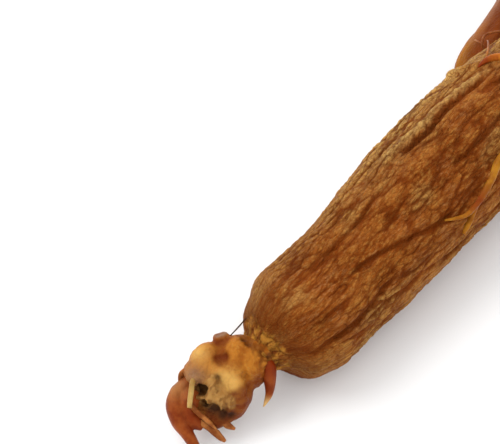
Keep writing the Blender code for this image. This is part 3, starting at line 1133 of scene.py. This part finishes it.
def head_material():
    """Dry ochre skin, orange where it is smooth, red-brown in the folds and dark in the scar. The
    red-brown of the folds, the underside and the right side is painted shade; the fine pale flecks are
    painted highlight, and the pale patches partly so.
    """
    n = Nodes("knotty_head")
    place = n.place()
    cloud = n.noise(place, 3.0)
    fine = n.noise(place, 0.7, 4.0, 0.65)
    colour = n.mix(n.between(cloud, 0.38, 0.62), *HEAD_OCHRE)
    # Fine flecks of painted highlight.
    colour = n.mix(n.between(fine, 0.5, 0.72, 0.0, 0.4), colour, HEAD_GLINT)
    # Pale cream on two lobes, partly a painted highlight.
    colour = n.mix(n.maths("MULTIPLY", n.attribute("pale"), 0.85), colour, HEAD_PALE)
    # Red-brown in the folds and the collar's creases, as painted shade.
    colour = n.mix(n.between(n.attribute("crease"), 0.2, 0.9, 0.0, 0.7), colour, HEAD_CREASE)
    colour = n.mix(n.maths("MULTIPLY", n.attribute("grey"), 0.85), colour, HEAD_GREY)
    # Red-brown where the head is painted shaded below and on its right, and in its red patches.
    red = n.mix(n.between(cloud, 0.4, 0.6), *HEAD_RED)
    colour = n.mix(n.maths("MULTIPLY", n.attribute("red"), 0.88), colour, red)
    burnt = n.mix(n.between(fine, 0.42, 0.58), *SCAR_BROWN)
    colour = n.mix(n.maths("MULTIPLY", n.attribute("scar"), 0.85), colour, burnt)
    straw = n.mix(n.between(cloud, 0.35, 0.65), *STALK_STRAW)
    thread = n.between(n.noise(place, (1.6, 0.7, 2.4), 2.0, 0.5), 0.4, 0.5, 0.6, 0.0)
    straw = n.mix(thread, straw, STALK_THREAD)
    colour = n.mix(n.maths("MULTIPLY", n.attribute("straw"), 0.9), colour, straw)
    # Dark specks, and painted shade in the scar's slits and pockets.
    colour = n.mix(n.maths("MULTIPLY", n.attribute("dark"), 0.92), colour, HEAD_DARK)
    n.put(n.shader.inputs["Base Color"], colour)
    n.put(n.shader.inputs["Roughness"], n.between(cloud, 0.3, 0.7, 0.4, 0.58))
    n.waxy(share=0.15, reach=1.0, sheen=0.14)
    n.bump(fine, depth=0.3)
    return n.material


def rootlet_material(name, dark, light):
    """Smooth glassy rootlet skin, uneven in tone, redder and paler where its mesh says so; on the
    curled bud these are painted shadow in its pocket and a painted highlight on its top.
    """
    n = Nodes(name)
    place = n.place()
    cloud = n.noise(place, 2.5)
    colour = n.mix(n.between(cloud, 0.35, 0.65), dark, light)
    streak = n.between(n.noise(place, 0.6, 4.0, 0.7), 0.35, 0.65)
    colour = n.mix(n.maths("MULTIPLY", streak, 0.3), colour, dark)
    # Redder and paler where the mesh says so; on the bud these are painted shadow and painted
    # highlight.
    colour = n.mix(n.maths("MULTIPLY", n.attribute("red"), 0.85), colour, ROOTLET_RED)
    colour = n.mix(n.maths("MULTIPLY", n.attribute("tip"), 0.9), colour, ROOTLET_PALE_AND_LIT)
    n.put(n.shader.inputs["Base Color"], colour)
    n.put(n.shader.inputs["Roughness"], n.between(n.noise(place, 0.8), 0.3, 0.7, 0.32, 0.5))
    n.waxy(share=0.2, reach=1.0, sheen=0.16)
    n.bump(n.noise(place, 0.5), depth=0.12)
    return n.material


# The camera: its direction from the root in degrees, its lens, how far off it is in metres, and the
# point that it looks at, which is beside the root.
VIEW_AZIMUTH = -53.2
VIEW_ELEVATION = 55
LENS = 170.4
CAMERA_DISTANCE = 0.4
CAMERA_AIM = (13.2, 12.4, 12.6)

# The lamp: where it is from the root's middle and how wide it is, in metres, and its watts. Then the
# light from all round, and the floor's half width in metres and its grey.
LAMP_PLACE = (-0.25, 0.55, 0.75)
LAMP_WIDTH = 0.7
LAMP_POWER = 4.2
SKY_STRENGTH = 1.25
FLOOR_REACH = 3.0
FLOOR_GREY = 0.86


def make_camera(neck):
    """A long lens that looks down at the root from beyond its head, on the root's right."""
    azimuth, elevation = math.radians(VIEW_AZIMUTH), math.radians(VIEW_ELEVATION)
    back = Vector(
        (
            math.sin(azimuth) * math.cos(elevation),
            -math.cos(azimuth) * math.cos(elevation),
            math.sin(elevation),
        )
    )
    data = bpy.data.cameras.new("camera")
    data.sensor_width = 36.0
    data.lens = LENS
    data.clip_start = 0.01
    data.clip_end = 20.0
    camera = bpy.data.objects.new("camera", data)
    bpy.context.scene.collection.objects.link(camera)
    aim = neck + Vector(CAMERA_AIM) * MM
    camera.location = aim + back * CAMERA_DISTANCE
    camera.rotation_mode = "QUATERNION"
    camera.rotation_quaternion = (-back).to_track_quat("-Z", "Y")
    bpy.context.scene.camera = camera


def soft_light(name, place, aim, size, power):
    """A round lamp of this width in metres and power in watts at place, turned towards aim."""
    data = bpy.data.lights.new(name, "AREA")
    data.shape = "DISK"
    data.size = size
    data.energy = power
    light = bpy.data.objects.new(name, data)
    bpy.context.scene.collection.objects.link(light)
    light.location = place
    light.rotation_mode = "QUATERNION"
    light.rotation_quaternion = (Vector(aim) - Vector(place)).to_track_quat("-Z", "Y")


def make_studio(middle):
    """A large soft lamp high on the far side, white light from all round, and a plain white floor."""
    soft_light("key", middle + Vector(LAMP_PLACE), middle, LAMP_WIDTH, LAMP_POWER)
    world = bpy.data.worlds.new("studio")
    bpy.context.scene.world = world
    world.use_nodes = True
    background = world.node_tree.nodes["Background"]
    background.inputs["Color"].default_value = (1.0, 1.0, 1.0, 1.0)
    background.inputs["Strength"].default_value = SKY_STRENGTH

    bm = bmesh.new()
    bmesh.ops.create_grid(bm, x_segments=1, y_segments=1, size=FLOOR_REACH)
    mesh = bpy.data.meshes.new("floor")
    bm.to_mesh(mesh)
    bm.free()
    floor = new_object("floor", mesh)
    n = Nodes("white_paper")
    n.shader.inputs["Base Color"].default_value = (FLOOR_GREY, FLOOR_GREY, FLOOR_GREY, 1.0)
    n.shader.inputs["Roughness"].default_value = 0.9
    mesh.materials.append(n.material)
    scene = bpy.context.scene
    scene.view_settings.view_transform = "Standard"
    scene.view_settings.look = "None"
    scene.view_settings.exposure = 0.0
    scene.view_settings.gamma = 1.0


def piece(name, mesh, material, place):
    """A finished piece of the root, smooth shaded, that rides on the root's body."""
    mesh.materials.clear()
    mesh.materials.append(material)
    mesh.polygons.foreach_set("use_smooth", [True] * len(mesh.polygons))
    obj = new_object(name, mesh)
    obj.location = place
    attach(obj, "root")
    return obj


def add_bud_and_spur(neck):
    """The curled bud at the scar's left side and the spur that hangs below the collar."""
    amber = rootlet_material("glassy_bud", *BUD_AMBER)
    bud = strand(CURL, steps=8, sides=20, flat=0.85, face=(1, 0, 0.4), rough=0.1, seed=5)
    web = strand(CURL_WEB, sides=16, rough=0.1, seed=6)
    curl = one_skin("curl", gathered("curl", [bud, web]), BUD_GRAIN, rounds=4)
    points = coordinates(curl) / MM
    # On the bud the red is painted shadow in the pocket under its web, and the pale mark is a painted
    # highlight on its top near the head.
    add_attribute(curl, "red", nearness(points, (-14.6, 3.2, -4.4), (1.6, 2.4, 2.0)))
    add_attribute(curl, "tip", 0.25 * nearness(points, (-13.5, 8.2, -1.6), (2.2, 2.0, 1.8)))
    piece("curled_bud", curl, amber, neck)
    spur = strand(SPUR, steps=8, sides=16, flat=0.85, face=(1, 0, 0), rough=0.15, seed=6)
    points = coordinates(spur) / MM
    add_attribute(spur, "tip", smooth_step(2.8, 4.6, -points[:, 2]))
    add_attribute(spur, "red", smooth_step(-1.4, 1.6, points[:, 2]))
    piece("spur", spur, amber, neck)


def add_dry_ends(neck, wood):
    """The dry stick, the splinters, the thin fin and the hair on the head."""
    straw = rootlet_material("dry_stalk", *STICK_STRAW)
    dark = rootlet_material("dark_hair", *HAIR_DARK)
    piece("pale_stick", strand(PALE_STICK, sides=7, flat=0.8, rough=0.2, seed=28), straw, neck)
    fibres = [
        strand(path, steps=8, sides=6, flat=0.4, face=SPLINTER_FACE, rough=0.3, seed=30 + i)
        for i, path in enumerate(SPLINTERS)
    ]
    piece("splinters", gathered("splinters", fibres), wood, neck)
    fin = strand(DRY_FIN, flat=0.4, face=(1, 1, 0), rough=0.2, seed=41)
    piece("dry_fin", fin, wood, neck)
    piece("hair", strand(HAIR, sides=8), dark, neck)


def add_rootlets(skin, neck, wood):
    """The two rootlets dried onto the body, and the fibres by the left leg."""
    surface = Skin(skin.data, neck)
    honey = rootlet_material("honey_rootlet", *ROOTLET_HONEY)
    paths = [surface.laid(path) for path in FORKED_ROOTLET]
    arms = [strand(path, flat=0.9, rough=0.15, seed=50 + i) for i, path in enumerate(paths)]
    forked = one_skin("forked", gathered("forked", arms), ROOTLET_GRAIN, rounds=3)
    points = coordinates(forked) / MM
    add_attribute(forked, "red", nearness(points[:, ::2], (42.8, 7.9), (2.8, 1.9)))
    piece("forked_rootlet", forked, honey, neck)
    orange = rootlet_material("orange_rootlet", *ROOTLET_ORANGE)
    crossing = strand(surface.laid(CROSSING_ROOTLET), sides=16, flat=0.8, rough=0.1, seed=60)
    points = coordinates(crossing) / MM
    add_attribute(crossing, "red", smooth_step(-67.4, -65.6, -points[:, 0]))
    piece("crossing_rootlet", crossing, orange, neck)
    fibres = [
        strand(path, sides=8, flat=0.8, rough=0.15, seed=70 + i) for i, path in enumerate(LEG_FIBRES)
    ]
    piece("leg_fibres", gathered("leg_fibres", fibres), wood, neck)


def main():
    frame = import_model()
    source = frame["nodes"]["ginseng_root"].data
    low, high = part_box("ginseng_root")
    neck = neck_of(source)

    skin = piece("root_skin", make_skin(source, neck), skin_material(), Vector())
    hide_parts("ginseng_root")
    piece("head", make_head(), head_material(), neck)
    wood = rootlet_material("split_wood", *SPLIT_WOOD)
    add_bud_and_spur(neck)
    add_dry_ends(neck, wood)
    add_rootlets(skin, neck, wood)

    make_camera(neck)
    make_studio((low + high) / 2)


main()
